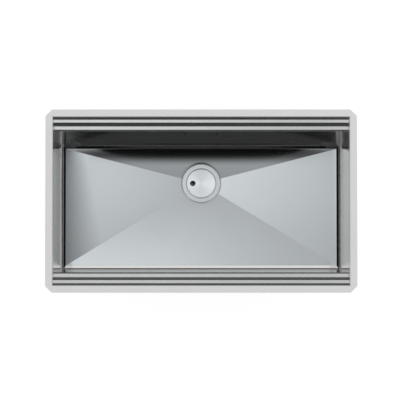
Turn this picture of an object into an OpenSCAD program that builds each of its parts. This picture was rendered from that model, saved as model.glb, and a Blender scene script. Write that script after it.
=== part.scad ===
// Undermount workstation sink: one folded steel bowl with two ledges along its front and back,
// a floor that falls in four facets to a basket waste, and a slot overflow piped to that waste.
// The origin is the centre of the bowl's opening, on top of the flange. X runs along the sink,
// Y towards its back, and Z up.

/* [Flange] */
// Width of the whole sink, side to side
overall_w = 850; // [760:10:960]
// Depth of the whole sink, front to back
overall_d = 500; // [490:5:540]
// Width of the flange that lies under the worktop
flange_w = 20; // [16:1:24]
// Length cut off each corner of the flange, along each side
corner_cut = 18; // [8:1:24]
// Thickness of the steel sheet
sheet = 1.2; // [1:0.1:1.5]

/* [Ledges] */
// Depth of the upper ledge below the flange
upper_ledge_z = 10; // [9:1:14]
// Depth of the lower ledge below the flange
lower_ledge_z = 22; // [21:1:28]
// Width of the upper ledge
upper_ledge_w = 12.5; // [11:0.5:15]
// Width of the lower ledge
lower_ledge_w = 15; // [13:0.5:17]
// How far each riser leans in from top to bottom
riser_lean = 4; // [2:0.5:5]
// Radius of the folds along the ledges
fold_r = 3; // [2.5:0.25:3.5]

/* [Bowl] */
// Depth from the flange to the edge of the floor
bowl_depth = 200; // [190:5:220]
// How far the front and back walls lean in from the lower ledge to the floor
wall_lean = 15; // [10:1:18]
// Radius where the walls meet the floor
floor_bend_r = 12; // [10:1:15]
// Fall of the floor from its edge to the middle of the drain
floor_fall = 8; // [6:0.5:8]
// Distance of the drain behind the middle of the bowl
drain_y = 70; // [50:5:75]

/* [Waste] */
// Outer radius of the drain's steel rim
rim_r = 56.3; // [55:0.1:57]
// Radius of the lift-out cover
cover_r = 42.2; // [41.8:0.1:42.4]
// Radius of the finger hole in the cover
finger_r = 8.2; // [7:0.1:10]
// Number of slots round the strainer basket
basket_slots = 20; // [12:1:24]
// Outer radius of the pipe that carries the water away
outlet_r = 20; // [19:0.5:20]

/* [Overflow] */
// Width of the overflow slot in the back wall
slot_w = 90; // [84:1:96]
// Height of the overflow slot
slot_h = 20; // [18:1:22]
// Depth of the middle of the slot below the flange
slot_z = 55; // [54:1:60]
// Gap all round the plate that covers the slot
slot_gap = 3; // [2:0.5:4]

/* [Sound pads] */
// Thickness of the rubber pads glued to the outside of the bowl
pad_t = 3; // [2:0.5:4]

/* [Hidden] */

$fn = 96;
steel = [0.78, 0.79, 0.80];
polished = [0.85, 0.87, 0.88];
rubber = [0.12, 0.12, 0.13];
white_plastic = [0.88, 0.88, 0.86];
grey_plastic = [0.55, 0.56, 0.57];
brass_colour = [0.80, 0.66, 0.35];

// The opening's half sizes at the flange
half_x = overall_w / 2 - flange_w;
half_y = overall_d / 2 - flange_w;
rim_fold_r = 2;
wall_top_r = 5;
// Distances in from the opening's edge to each corner of the front and back profile
upper_foot = riser_lean;
upper_edge = upper_foot + upper_ledge_w;
lower_foot = upper_edge + riser_lean;
lower_edge = lower_foot + lower_ledge_w;
wall_foot = lower_edge + wall_lean;
wall_angle = atan(wall_lean / (bowl_depth - lower_ledge_z));
// The flat floor's half sizes, inside the bends
flat_x = half_x - floor_bend_r;
flat_y = half_y - wall_foot - floor_bend_r / tan(45 + wall_angle / 2);
beyond = 600;
above = 40;
arc_step = 9;

// The round recess in the floor that the drain's rim drops into
recess_r = rim_r + 1.7;
recess_z = -bowl_depth - floor_fall - 1;
drain_hole_r = 46;

// Clearances between turned or moulded pieces that slide together
slip = 0.05;
loose = 0.15;

// The overflow runs down a pipe behind the bowl
pipe_r = 11;
pipe_bore_r = 9.5;
pipe_y = half_y - 22;
socket_r = 14;
socket_depth = 14;
nut_r = 17;
nut_grip = 10;
seal_h = 4;
nut_lip = 2;
housing_socket_z = -slot_z - 46;
inlet_z = recess_z - 31;
elbow_bend_r = 20;
elbow_socket_z = inlet_z + elbow_bend_r + 24;
inlet_y = drain_y + 75;

function unit(v) = v / norm(v);
function flat_point(corner) = [corner[0], corner[1]];
function turn_of(a, b) = a[0] * b[1] - a[1] * b[0];
function right_of(v) = [v[1], -v[0]];
function before(path, i) = flat_point(path[(i + len(path) - 1) % len(path)]);
function after(path, i) = flat_point(path[(i + 1) % len(path)]);

// A path is a counter-clockwise list of corners [x, y, radius]. This moves its sides out by t,
// and keeps the bends concentric, as the two faces of a folded sheet are.
function grown(path, t) = [
    for (i = [0 : len(path) - 1])
        let (
            here = flat_point(path[i]),
            going_in = unit(here - before(path, i)),
            going_out = unit(after(path, i) - here),
            n1 = right_of(going_in),
            n2 = right_of(going_out),
            moved = here + (n1 + n2) * t / (1 + n1 * n2),
            r = path[i][2]
        )
        [moved[0], moved[1], r == 0 ? 0 : r + (turn_of(going_in, going_out) > 0 ? t : -t)]
];

// The points of a path with each corner turned into an arc of its radius
function rounded(path) = [
    for (i = [0 : len(path) - 1])
        let (
            here = flat_point(path[i]),
            r = path[i][2],
            back = unit(before(path, i) - here),
            on = unit(after(path, i) - here),
            half = acos(back * on) / 2,
            centre = here + unit(back + on) * r / sin(half),
            first = here + back * r / tan(half) - centre,
            from = atan2(first[1], first[0]),
            sweep = sign(turn_of(-back, on)) * (180 - 2 * half),
            steps = max(2, round(abs(sweep) / arc_step))
        )
        each r == 0
            ? [here]
            : [for (k = [0 : steps]) centre + r * [cos(from + sweep * k / steps),
                                                   sin(from + sweep * k / steps)]]
];

// One side of the front to back section, from the flange down to the floor, at sign s
function ledge_side(s) = [
    [s * half_y, 0, rim_fold_r],
    [s * (half_y - upper_foot), -upper_ledge_z, fold_r],
    [s * (half_y - upper_edge), -upper_ledge_z, fold_r],
    [s * (half_y - lower_foot), -lower_ledge_z, fold_r],
    [s * (half_y - lower_edge), -lower_ledge_z, wall_top_r],
    [s * (half_y - wall_foot), -bowl_depth, floor_bend_r]
];
function reversed(list) = [for (i = [len(list) - 1 : -1 : 0]) list[i]];
function open_top(side_in, side_out) = concat(
    [[-beyond, 0, 0]], side_in, side_out, [[beyond, 0, 0], [beyond, above, 0], [-beyond, above, 0]]
);
front_to_back = open_top(ledge_side(-1), reversed(ledge_side(1)));
side_to_side = open_top(
    [[-half_x, 0, rim_fold_r], [-half_x, -bowl_depth, floor_bend_r]],
    [[half_x, -bowl_depth, floor_bend_r], [half_x, 0, rim_fold_r]]
);

module along_x(length) rotate([90, 0, 90]) linear_extrude(length, center = true) children();
module along_y(length) rotate([90, 0, 0]) linear_extrude(length, center = true) children();
module at_drain(z = 0) translate([0, drain_y, z]) children();

// Everything above the plane that falls from one edge of the floor to the drain's middle
module above_facet(way, run) {
    at_drain(-bowl_depth)
        rotate([0, 0, way])
        translate([0, run, 0])
        rotate([atan(floor_fall / run), 0, 0])
        translate([-beyond, -2 * beyond, 0])
        cube([2 * beyond, 2 * beyond + 4, 120]);
}

module faceted_floor() {
    over = 4;
    intersection() {
        translate([-flat_x, -flat_y, -bowl_depth - floor_fall - over])
            cube([2 * flat_x, 2 * flat_y, floor_fall + 2 * over]);
        above_facet(0, flat_y - drain_y);
        above_facet(90, flat_x);
        above_facet(180, flat_y + drain_y);
        above_facet(270, flat_x);
    }
}

// The space inside the bowl, open above the flange, with its sides moved out by grow
module water_space(grow) {
    intersection() {
        along_x(2 * beyond) polygon(rounded(grown(front_to_back, grow)));
        along_y(2 * beyond) polygon(rounded(grown(side_to_side, grow)));
    }
    translate([0, 0, -grow]) faceted_floor();
    at_drain(recess_z - grow) cylinder(h = floor_fall + 4, r = recess_r + grow);
}

module flange_outline() {
    x = overall_w / 2;
    y = overall_d / 2;
    c = corner_cut;
    polygon([
        [x - c, -y], [x, -y + c], [x, y - c], [x - c, y],
        [-x + c, y], [-x, y - c], [-x, -y + c], [-x + c, -y]
    ]);
}

// A rectangle with round corners, of true arcs once it is extruded
module round_bar(w, h, r, depth) {
    translate([-w / 2 + r, -h / 2, 0]) cube([w - 2 * r, h, depth]);
    translate([-w / 2, -h / 2 + r, 0]) cube([w, h - 2 * r, depth]);
    for (x = [-1, 1], y = [-1, 1])
        translate([x * (w / 2 - r), y * (h / 2 - r), 0]) cylinder(h = depth, r = r);
}

// Places a piece on the outside of the back wall, over the overflow slot: its Y points out of
// the wall and its Z up it
module on_slot() {
    down_wall = slot_z - lower_ledge_z;
    y = half_y - lower_edge - down_wall * tan(wall_angle) + sheet / cos(wall_angle);
    translate([0, y, -slot_z]) rotate([-wall_angle, 0, 0]) children();
}

// Turns a flat shape drawn in X and Y so that it stands in the wall, reaching out from y
module out_of_wall(y) translate([0, y, 0]) mirror([0, 1, 0]) rotate([90, 0, 0]) children();

module bowl() {
    color(steel) difference() {
        intersection() {
            translate([0, 0, recess_z - 20]) linear_extrude(-recess_z + 20 + 1) flange_outline();
            water_space(sheet);
        }
        water_space(0);
        at_drain(recess_z - 10) cylinder(h = 20, r = drain_hole_r);
        on_slot() out_of_wall(-10) round_bar(slot_w, slot_h, 4, 20);
    }
}

// Heights in the waste are measured from the recess, where the rim seats
rim_top = 2.7;
gasket_t = 1.5;
dish_r = 43.6;
shoulder_z = -5;
dish_floor = -40;
dish_t = 1.2;
hub_hole_r = 3.3;

module drain_rim() {
    hole_ring_r = 17.5;
    section = [
        [rim_r, 0.1, 0], [rim_r, rim_top, 1.4], [dish_r, rim_top, 2.4],
        [dish_r, shoulder_z, 0.6], [dish_r - 1.8, shoulder_z, 0.6],
        [dish_r - 4, dish_floor, 3], [0, dish_floor, 0], [0, dish_floor - dish_t, 0],
        [dish_r - 4 + dish_t, dish_floor - dish_t, 4], [dish_r - 1.8 + dish_t, shoulder_z - dish_t, 0.6],
        [dish_r + dish_t, shoulder_z - dish_t, 0.6], [dish_r + dish_t, gasket_t, 1.2],
        [rim_r - dish_t, gasket_t, 0.3], [rim_r - dish_t, 0.1, 0]
    ];
    color(polished) at_drain(recess_z) difference() {
        rotate_extrude() polygon(rounded(section));
        translate([0, 0, dish_floor - 5]) {
            cylinder(h = 10, r = hub_hole_r);
            for (a = [0 : 60 : 300]) rotate([0, 0, a]) translate([hole_ring_r, 0, 0]) cylinder(h = 10, r = 5.2);
        }
    }
}

module ring(outer, inner, h) {
    difference() {
        cylinder(h = h, r = outer);
        translate([0, 0, -1]) cylinder(h = h + 2, r = inner);
    }
}

module rim_gasket() color(rubber) at_drain(recess_z) ring(rim_r - 2, drain_hole_r + 0.5, gasket_t);

body_gasket_t = 3;
body_top = -sheet - body_gasket_t;
module body_gasket() color(rubber) at_drain(recess_z + body_top) ring(55, drain_hole_r + 0.5, body_gasket_t);

cup_r = 46.2;
cup_wall = 3;
cup_floor = -50;
outlet_bore_r = 18.9;
outlet_thread_r = 23.9;
outlet_end = -80;
hub_r = 8;
insert_r = 5;
insert_h = 14;
insert_top = dish_floor - dish_t - 3;

module waste_body() {
    hub_top = dish_floor - dish_t - 1.2;
    hub_end = insert_top - insert_h - 2;
    cup = [
        [cup_r, body_top, 0], [cup_r, cup_floor, 2], [outlet_bore_r, cup_floor - 6, 2],
        [outlet_bore_r, outlet_end, 0], [outlet_thread_r, outlet_end, 0],
        [outlet_thread_r, cup_floor - 10, 0.5], [cup_r + cup_wall, cup_floor - 4, 2],
        [cup_r + cup_wall, body_top - 4, 1], [57, body_top - 4, 1], [57, body_top, 0.8]
    ];
    color(white_plastic) at_drain(recess_z) {
        difference() {
            union() {
                rotate_extrude() polygon(rounded(cup));
                translate([0, cup_r + 1, inlet_z - recess_z])
                    rotate([-90, 0, 0]) cylinder(h = inlet_y - drain_y - cup_r - 1, r = socket_r);
            }
            translate([0, cup_r - 4, inlet_z - recess_z]) rotate([-90, 0, 0]) cylinder(h = 60, r = pipe_bore_r);
            translate([0, inlet_y - drain_y - socket_depth, inlet_z - recess_z])
                rotate([-90, 0, 0]) cylinder(h = 60, r = pipe_r + loose);
        }
        difference() {
            union() {
                translate([0, 0, hub_end]) cylinder(h = hub_top - hub_end, r = hub_r);
                for (a = [45, 135]) rotate([0, 0, a])
                    translate([-outlet_bore_r - 1, -1.5, hub_end]) cube([2 * outlet_bore_r + 2, 3, 6]);
            }
            translate([0, 0, insert_top - insert_h]) cylinder(h = 40, r = insert_r + slip);
        }
    }
}

module screw_insert() {
    color(brass_colour) at_drain(recess_z + insert_top - insert_h)
        ring(insert_r, 3 + slip, insert_h);
}

module clamp_screw() {
    color(polished) at_drain(recess_z) difference() {
        union() {
            translate([0, 0, insert_top - insert_h + 1]) cylinder(h = dish_floor - insert_top + insert_h - 1, r = 3);
            rotate_extrude() polygon(rounded([
                [0, dish_floor, 0], [5.5, dish_floor, 0.3], [5.5, dish_floor + 2.6, 1.2], [0, dish_floor + 2.6, 0]
            ]));
        }
        translate([0, 0, dish_floor + 1]) cylinder(h = 4, r = 2.3, $fn = 6);
    }
}

outlet_washer_t = 3;
collar_t = 2.5;
outlet_top = outlet_end - outlet_washer_t;
outlet_length = 58;
// The pipe is a little thinner where the nut runs, and has its true size below
outlet_neck = 7;
module outlet_seal() color(rubber) at_drain(recess_z + outlet_top) ring(23.5, outlet_r - 2, outlet_washer_t);

module outlet_pipe() {
    color(white_plastic) at_drain(recess_z + outlet_top) difference() {
        union() {
            translate([0, 0, -collar_t]) cylinder(h = collar_t, r = 23.5);
            translate([0, 0, -outlet_neck]) cylinder(h = outlet_neck, r = outlet_r - 0.3);
            translate([0, 0, -outlet_length]) cylinder(h = outlet_length - outlet_neck, r = outlet_r);
        }
        translate([0, 0, -outlet_length - 1]) cylinder(h = outlet_length + 2, r = outlet_r - 2);
    }
}

// A moulded nut with grip ribs: it runs over a thread of radius thread_r and holds a pipe below
module ribbed_nut(outer, thread_r, pipe, grip, seal, lip, ribs) {
    difference() {
        union() {
            translate([0, 0, -grip]) cylinder(h = grip + seal + lip - 2, r = outer - 1.5);
            translate([0, 0, seal + lip - 2]) cylinder(h = 2, r1 = outer - 1.5, r2 = outer - 3);
            for (i = [0 : ribs - 1]) rotate([0, 0, (i + 0.5) * 360 / ribs])
                translate([outer - 2.5, -1.2, 1 - grip]) cube([2.5, 2.4, grip + seal + lip - 4]);
        }
        translate([0, 0, -grip - 1]) cylinder(h = grip + seal + 1, r = thread_r + loose);
        translate([0, 0, -grip - 1]) cylinder(h = grip + seal + lip + 2, r = pipe + loose);
    }
}

module outlet_nut() {
    color(white_plastic) at_drain(recess_z + outlet_end) mirror([0, 0, 1])
        ribbed_nut(30, outlet_thread_r, outlet_r, 15, outlet_washer_t + collar_t, 3, 20);
}

basket_rim_z = shoulder_z + 0.25;
basket_floor = -34;
basket_t = 0.8;
seal_top = basket_floor - basket_t;
stem_r = 3;

module strainer_basket() {
    slot_low = basket_floor + 6;
    floor_hole_ring = 30;
    section = [
        [0, basket_floor, 0], [35.5, basket_floor, 3], [38.8, basket_rim_z + 1, 0.8],
        [dish_r - 0.5, basket_rim_z + 1, 0], [dish_r - 0.5, basket_rim_z, 0],
        [38.8 + basket_t, basket_rim_z, 0.3], [35.5 + basket_t, seal_top, 3.8], [0, seal_top, 0]
    ];
    color(polished) at_drain(recess_z) difference() {
        rotate_extrude() polygon(rounded(section));
        translate([0, 0, seal_top - 1]) cylinder(h = 4, r = stem_r + slip);
        for (i = [0 : basket_slots - 1]) rotate([0, 0, (i + 0.5) * 360 / basket_slots]) {
            translate([30, -1.5, slot_low]) cube([14, 3, 16]);
            translate([floor_hole_ring, 0, seal_top - 1]) cylinder(h = 4, r = 1.8);
        }
    }
}

module basket_seal() {
    section = [
        [stem_r + slip, seal_top, 0], [stem_r + slip, seal_top - 1.5, 0], [9, seal_top - 1.5, 0],
        [9, dish_floor + 0.3, 0], [26, dish_floor + 0.3, 0.8], [28, dish_floor + 1.6, 0.8],
        [25, seal_top, 0.5]
    ];
    color(rubber) at_drain(recess_z) rotate_extrude() polygon(rounded(section));
}

module basket_knob() {
    knob_z = basket_floor + 22;
    section = [
        [0, seal_top - 1.5, 0], [stem_r, seal_top - 1.5, 0], [stem_r, basket_floor, 0],
        [7, basket_floor, 0.6], [7, basket_floor + 2, 0.8], [4, basket_floor + 5, 3],
        [4, knob_z, 2], [11, knob_z + 1, 1], [11, knob_z + 4, 1.4], [0, knob_z + 5, 0]
    ];
    color(polished) at_drain(recess_z) rotate_extrude() polygon(rounded(section));
}

module drain_cover() {
    crown = 1;
    skirt_t = 1.2;
    skirt_end = -2.5;
    foot_end = basket_rim_z + 1.25;
    finger_x = -24.7;
    section = [
        [0, rim_top + crown, 0], [0, rim_top + crown - dish_t, 0],
        [cover_r - skirt_t, rim_top - dish_t, 1], [cover_r - skirt_t, foot_end, 0],
        [cover_r, foot_end, 0], [cover_r, rim_top, 1.6]
    ];
    color(polished) at_drain(recess_z) difference() {
        rotate_extrude() polygon(rounded(section));
        translate([finger_x, 0, -10]) cylinder(h = 20, r = finger_r);
        // Only three feet of the skirt reach down to the basket's rim
        difference() {
            translate([0, 0, foot_end - 1]) ring(cover_r + 1, cover_r - skirt_t - 1, skirt_end - foot_end + 1);
            for (a = [30 : 120 : 270]) rotate([0, 0, a]) translate([30, -6, foot_end - 2]) cube([20, 12, 8]);
        }
    }
}

// The cover plate stands in the slot, flush with the wall, on two bosses
boss_x = 26;
housing_gap = 2;
housing_out = 27;
housing_wall = 2.5;
plate_screw_r = 2;

module overflow_plate() {
    inner_back = housing_out - housing_wall;
    color(steel) on_slot() {
        difference() {
            union() {
                out_of_wall(-sheet) round_bar(slot_w - 2 * slot_gap, slot_h - 2 * slot_gap, 2, sheet);
                for (x = [-boss_x, boss_x]) translate([x, 0, 0]) out_of_wall(-0.2) cylinder(h = inner_back + 0.2, r = 4);
            }
            for (x = [-boss_x, boss_x]) translate([x, 0, 0]) out_of_wall(4) cylinder(h = 40, r = plate_screw_r + slip);
        }
    }
}

housing_w = 116;
housing_h = 50;
ear_x = 66;
ear_r = 9;

module overflow_gasket() {
    color(rubber) on_slot() difference() {
        union() {
            out_of_wall(0) round_bar(housing_w, housing_h, 5, housing_gap);
            for (x = [-ear_x, ear_x]) translate([x, 0, 0]) out_of_wall(0) cylinder(h = housing_gap, r = ear_r);
        }
        out_of_wall(-5) round_bar(housing_w - 16, housing_h - 16, 4, 10);
        for (x = [-ear_x, ear_x]) translate([x, 0, 0]) out_of_wall(-5) cylinder(h = 10, r = 2.5 + loose);
    }
}

module overflow_housing() {
    inside_depth = housing_out - housing_gap - housing_wall;
    color(grey_plastic) difference() {
        union() {
            on_slot() {
                out_of_wall(housing_gap) round_bar(housing_w, housing_h, 5, housing_out - housing_gap);
                for (x = [-ear_x, ear_x]) translate([x, 0, 0]) out_of_wall(housing_gap) cylinder(h = 3, r = ear_r);
            }
            translate([0, pipe_y, housing_socket_z]) cylinder(h = 26, r = socket_r);
        }
        on_slot() {
            out_of_wall(housing_gap - 1)
                round_bar(housing_w - 2 * housing_wall, housing_h - 2 * housing_wall, 3, inside_depth + 1);
            for (x = [-boss_x, boss_x]) translate([x, 0, 0]) out_of_wall(0) cylinder(h = 60, r = plate_screw_r + loose);
            for (x = [-ear_x, ear_x]) translate([x, 0, 0]) out_of_wall(0) cylinder(h = 10, r = 2.5 + loose);
        }
        translate([0, pipe_y, housing_socket_z - 1]) cylinder(h = socket_depth + 1, r = pipe_r + loose);
        translate([0, pipe_y, housing_socket_z]) cylinder(h = 26, r = pipe_bore_r);
    }
}

module housing_studs() {
    color(steel) on_slot() for (x = [-ear_x, ear_x]) translate([x, 0, 0]) out_of_wall(0) cylinder(h = 14, r = 2.5);
}

module housing_nuts() {
    color(steel) on_slot() for (x = [-ear_x, ear_x]) translate([x, 0, 0]) out_of_wall(housing_gap + 3) difference() {
        union() {
            cylinder(h = 1, r = 6);
            cylinder(h = 5, r = 4.6, $fn = 6);
        }
        translate([0, 0, -1]) cylinder(h = 8, r = 2.5 + slip);
    }
}

module plate_screws() {
    color(steel) on_slot() for (x = [-boss_x, boss_x]) translate([x, 0, 0]) {
        out_of_wall(8) cylinder(h = housing_out - 8, r = plate_screw_r);
        out_of_wall(housing_out) difference() {
            rotate_extrude() polygon(rounded([[0, 0, 0], [4, 0, 0.2], [4, 2.4, 1.2], [0, 2.4, 0]]));
            for (a = [0, 90]) rotate([0, 0, a]) translate([-2.4, -0.45, 1.2]) cube([4.8, 0.9, 2]);
        }
    }
}

module overflow_pipe() {
    low = elbow_socket_z - socket_depth + 1;
    color(white_plastic) translate([0, pipe_y, low])
        ring(pipe_r, pipe_bore_r, housing_socket_z + socket_depth - 1 - low);
}

// From the upright pipe, round a quarter turn, and forward into the waste
module overflow_elbow() {
    upright = elbow_socket_z - inlet_z - elbow_bend_r;
    tip_y = inlet_y - socket_depth + 1;
    level = pipe_y - elbow_bend_r - tip_y;
    color(white_plastic) difference() {
        union() {
            translate([0, pipe_y, inlet_z + elbow_bend_r]) cylinder(h = upright, r = socket_r);
            translate([0, tip_y, inlet_z]) rotate([-90, 0, 0]) cylinder(h = level, r = pipe_r);
            elbow_bend(pipe_r);
        }
        translate([0, pipe_y, elbow_socket_z - socket_depth]) cylinder(h = 40, r = pipe_r + loose);
        translate([0, pipe_y, inlet_z + elbow_bend_r]) cylinder(h = 40, r = pipe_bore_r);
        translate([0, tip_y - 1, inlet_z]) rotate([-90, 0, 0]) cylinder(h = level + 1, r = pipe_bore_r);
        elbow_bend(pipe_bore_r);
    }
}

module elbow_bend(r) {
    translate([0, pipe_y - elbow_bend_r, inlet_z + elbow_bend_r])
        rotate([0, 90, 0]) rotate_extrude(angle = 90) translate([elbow_bend_r, 0]) circle(r = r);
}

// Puts a nut or a seal at the mouth of each of the three pipe sockets, pointing out of it
module at_pipe_sockets() {
    translate([0, pipe_y, housing_socket_z]) mirror([0, 0, 1]) children();
    translate([0, pipe_y, elbow_socket_z]) children();
    translate([0, inlet_y, inlet_z]) rotate([-90, 0, 0]) children();
}

module pipe_nuts() {
    color(white_plastic) at_pipe_sockets() ribbed_nut(nut_r, socket_r, pipe_r, nut_grip, seal_h, nut_lip, 12);
}

module pipe_seals() color(rubber) at_pipe_sockets() ring(socket_r, pipe_r + slip, seal_h - 0.2);

// Floor pads lie under the facets, and follow their fall
module floor_pad(s) {
    near = 90;
    far = 330;
    color(rubber) intersection() {
        translate([s > 0 ? near : -far, -110, -bowl_depth - 40]) cube([far - near, 220, 40]);
        difference() {
            translate([0, 0, -sheet - pad_t]) faceted_slab();
            translate([0, 0, -sheet]) faceted_slab();
        }
    }
}

// The faceted floor's upper side, made deep enough to cut a pad from
module faceted_slab() {
    intersection() {
        translate([-flat_x, -flat_y, -bowl_depth - floor_fall - 2]) cube([2 * flat_x, 2 * flat_y, 30]);
        above_facet(0, flat_y - drain_y);
        above_facet(90, flat_x);
        above_facet(180, flat_y + drain_y);
        above_facet(270, flat_x);
    }
}

module side_pad(s) {
    x = half_x + sheet;
    color(rubber) translate([s > 0 ? x : -x - pad_t, -100, -160]) cube([pad_t, 200, 110]);
}

// Pads on the leaning front and back walls are drawn on the back wall
module back_pad(x0, x1) {
    middle = 110;
    y = half_y - lower_edge - (middle - lower_ledge_z) * tan(wall_angle) + sheet / cos(wall_angle);
    color(rubber) translate([0, y, -middle]) rotate([-wall_angle, 0, 0])
        translate([x0, 0, -50]) cube([x1 - x0, pad_t, 100]);
}

module pad_floor_left() floor_pad(-1);
module pad_floor_right() floor_pad(1);
module pad_left() side_pad(-1);
module pad_right() side_pad(1);
module pad_front() mirror([0, 1, 0]) back_pad(-200, 200);
module pad_back_left() back_pad(-310, -110);
module pad_back_right() back_pad(110, 310);

bowl();
drain_rim();
rim_gasket();
body_gasket();
waste_body();
clamp_screw();
screw_insert();
outlet_seal();
outlet_nut();
outlet_pipe();
strainer_basket();
basket_seal();
basket_knob();
drain_cover();
overflow_plate();
overflow_housing();
overflow_gasket();
housing_studs();
housing_nuts();
plate_screws();
overflow_pipe();
overflow_elbow();
pipe_nuts();
pipe_seals();
pad_floor_left();
pad_floor_right();
pad_left();
pad_right();
pad_front();
pad_back_left();
pad_back_right();
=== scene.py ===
"""A stainless steel undermount sink: a folded bowl with two pairs of ledges, a floor that falls in
four facets to a basket waste, and a slot overflow piped to that waste.

Lengths are in metres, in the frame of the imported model: X along the sink, Y towards its back and
Z up, from the middle of the bowl's opening, level with the top of the flange.
"""
import math

import bmesh
import bpy
from mathutils import Matrix, Vector


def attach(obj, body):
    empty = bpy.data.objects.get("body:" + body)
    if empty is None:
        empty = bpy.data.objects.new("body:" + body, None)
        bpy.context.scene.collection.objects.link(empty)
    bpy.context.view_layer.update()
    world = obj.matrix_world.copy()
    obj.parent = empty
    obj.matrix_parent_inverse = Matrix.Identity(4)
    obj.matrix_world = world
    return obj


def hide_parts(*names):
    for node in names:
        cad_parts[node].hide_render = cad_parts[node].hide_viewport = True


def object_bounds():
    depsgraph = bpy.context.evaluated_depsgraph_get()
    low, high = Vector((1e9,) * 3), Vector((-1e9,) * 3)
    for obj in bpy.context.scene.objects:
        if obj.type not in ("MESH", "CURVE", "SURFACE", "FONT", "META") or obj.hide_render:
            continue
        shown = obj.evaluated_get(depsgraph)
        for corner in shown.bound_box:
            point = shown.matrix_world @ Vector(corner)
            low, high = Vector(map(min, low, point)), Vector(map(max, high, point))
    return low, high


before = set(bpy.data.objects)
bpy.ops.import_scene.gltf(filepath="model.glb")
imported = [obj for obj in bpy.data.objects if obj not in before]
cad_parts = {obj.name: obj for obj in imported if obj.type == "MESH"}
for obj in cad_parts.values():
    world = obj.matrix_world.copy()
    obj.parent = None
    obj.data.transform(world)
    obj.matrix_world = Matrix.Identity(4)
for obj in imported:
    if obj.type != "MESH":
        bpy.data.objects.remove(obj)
cad_low, cad_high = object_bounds()

# Flange and opening
OVERALL_WIDTH = 0.850
OVERALL_DEPTH = 0.500
HALF_OPENING_X = 0.405
HALF_OPENING_Y = 0.230
CORNER_CUT = 0.018
SHEET = 0.0012

# Heights of the sheet, and the places of its folds in from the opening's edge
RIM_FOLD = 0.003
LEDGE_FOLD = 0.003
WALL_TOP_FOLD = 0.005
UPPER_LEDGE_Z = -0.010
LOWER_LEDGE_Z = -0.022
FLOOR_EDGE_Z = -0.200
UPPER_FOOT = 0.0050
UPPER_EDGE = 0.0155
LOWER_FOOT = 0.0215
LOWER_EDGE = 0.0355
WALL_FOOT = 0.0505
WALL_ANGLE = math.atan((WALL_FOOT - LOWER_EDGE) / (LOWER_LEDGE_Z - FLOOR_EDGE_Z))

# The sloping strip between the floor and the walls
LONG_TILT = math.radians(12)
END_TILT = math.radians(20)
STRIP_FOLD = 0.004
STRIP_END = 0.0100
STRIP_LONG = 0.0597
FOOT_FOLD = 0.0020
END_FOOT_FOLD = 0.0040

# Floor and drain
FLAT_X = HALF_OPENING_X - STRIP_END
FLAT_Y = HALF_OPENING_Y - STRIP_LONG
DRAIN_Y = 0.070
FLOOR_FALL = 0.008
RECESS_Z = -0.209
RECESS_RADIUS = 0.058
DRAIN_HOLE_RADIUS = 0.046
BACK_DISH_DEPTH = 0.0045
BACK_DISH_WIDTH = 0.057
LEFT_DISH_DEPTH = 0.0030
LEFT_DISH_WIDTH = 0.110
# How far each ring of the floor's faces lies from its edge to the drain, closer near the edge
FLOOR_RINGS = (0.02, 0.045, 0.075, 0.11, 0.15, 0.195, 0.245, 0.3, 0.36, 0.425, 0.5, 0.58, 0.66, 0.74, 0.82, 0.91, 1.0)

# Overflow
SLOT_WIDTH = 0.090
SLOT_HEIGHT = 0.020
SLOT_Z = -0.055
SLOT_CORNER = 0.004
PLATE_END_GAP = 0.003
PLATE_LONG_GAP = 0.0004

FLOOR_LEVEL = cad_low.z
ARC_STEP = math.radians(7.5)
SHARP_ANGLE = math.radians(32)
PIECES = []


# ------------------------------------------------------------------ shapes


def rounded(corners, closed=False):
    """The points of a path whose corners (a, b, radius) are turned into arcs."""
    points = []
    for i, (a, b, radius) in enumerate(corners):
        here = Vector((a, b))
        at_end = not closed and i in (0, len(corners) - 1)
        if radius == 0 or at_end:
            points.append(here)
            continue
        back = (Vector(corners[i - 1][:2]) - here).normalized()
        on = (Vector(corners[(i + 1) % len(corners)][:2]) - here).normalized()
        half = back.angle(on) / 2
        centre = here + (back + on).normalized() * (radius / math.sin(half))
        start = here + back * (radius / math.tan(half)) - centre
        turn = math.copysign(math.pi - 2 * half, -back.cross(on))
        steps = max(2, math.ceil(abs(turn) / ARC_STEP))
        for k in range(steps + 1):
            c = math.cos(turn * k / steps)
            s = math.sin(turn * k / steps)
            points.append(centre + Vector((start.x * c - start.y * s, start.x * s + start.y * c)))
    return points


def object_of(name, mesh):
    obj = bpy.data.objects.new(name, mesh)
    bpy.context.scene.collection.objects.link(obj)
    return obj


def object_from(name, bm):
    mesh = bpy.data.meshes.new(name)
    bm.to_mesh(mesh)
    bm.free()
    return object_of(name, mesh)


def baked(obj):
    """Makes an object's modifiers part of its mesh."""
    bpy.context.view_layer.update()
    depsgraph = bpy.context.evaluated_depsgraph_get()
    mesh = bpy.data.meshes.new_from_object(
        obj.evaluated_get(depsgraph), preserve_all_data_layers=True, depsgraph=depsgraph
    )
    obj.modifiers.clear()
    old = obj.data
    obj.data = mesh
    bpy.data.meshes.remove(old)
    mesh.name = obj.name
    return obj


def smoothed(obj):
    """Shades an object smooth, but for its sharp edges, with flat faces kept flat."""
    bm = bmesh.new()
    bm.from_mesh(obj.data)
    for face in bm.faces:
        face.smooth = True
    for edge in bm.edges:
        if edge.is_manifold and edge.calc_face_angle() > SHARP_ANGLE:
            edge.smooth = False
    bm.to_mesh(obj.data)
    bm.free()
    weighted = obj.modifiers.new("weighted", "WEIGHTED_NORMAL")
    weighted.keep_sharp = True
    return baked(obj)


def at_drain(obj):
    """Moves a mesh drawn about its own axis to the drain, with its zero height on the recess."""
    obj.data.transform(Matrix.Translation((0, DRAIN_Y, RECESS_Z)))
    return obj


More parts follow.
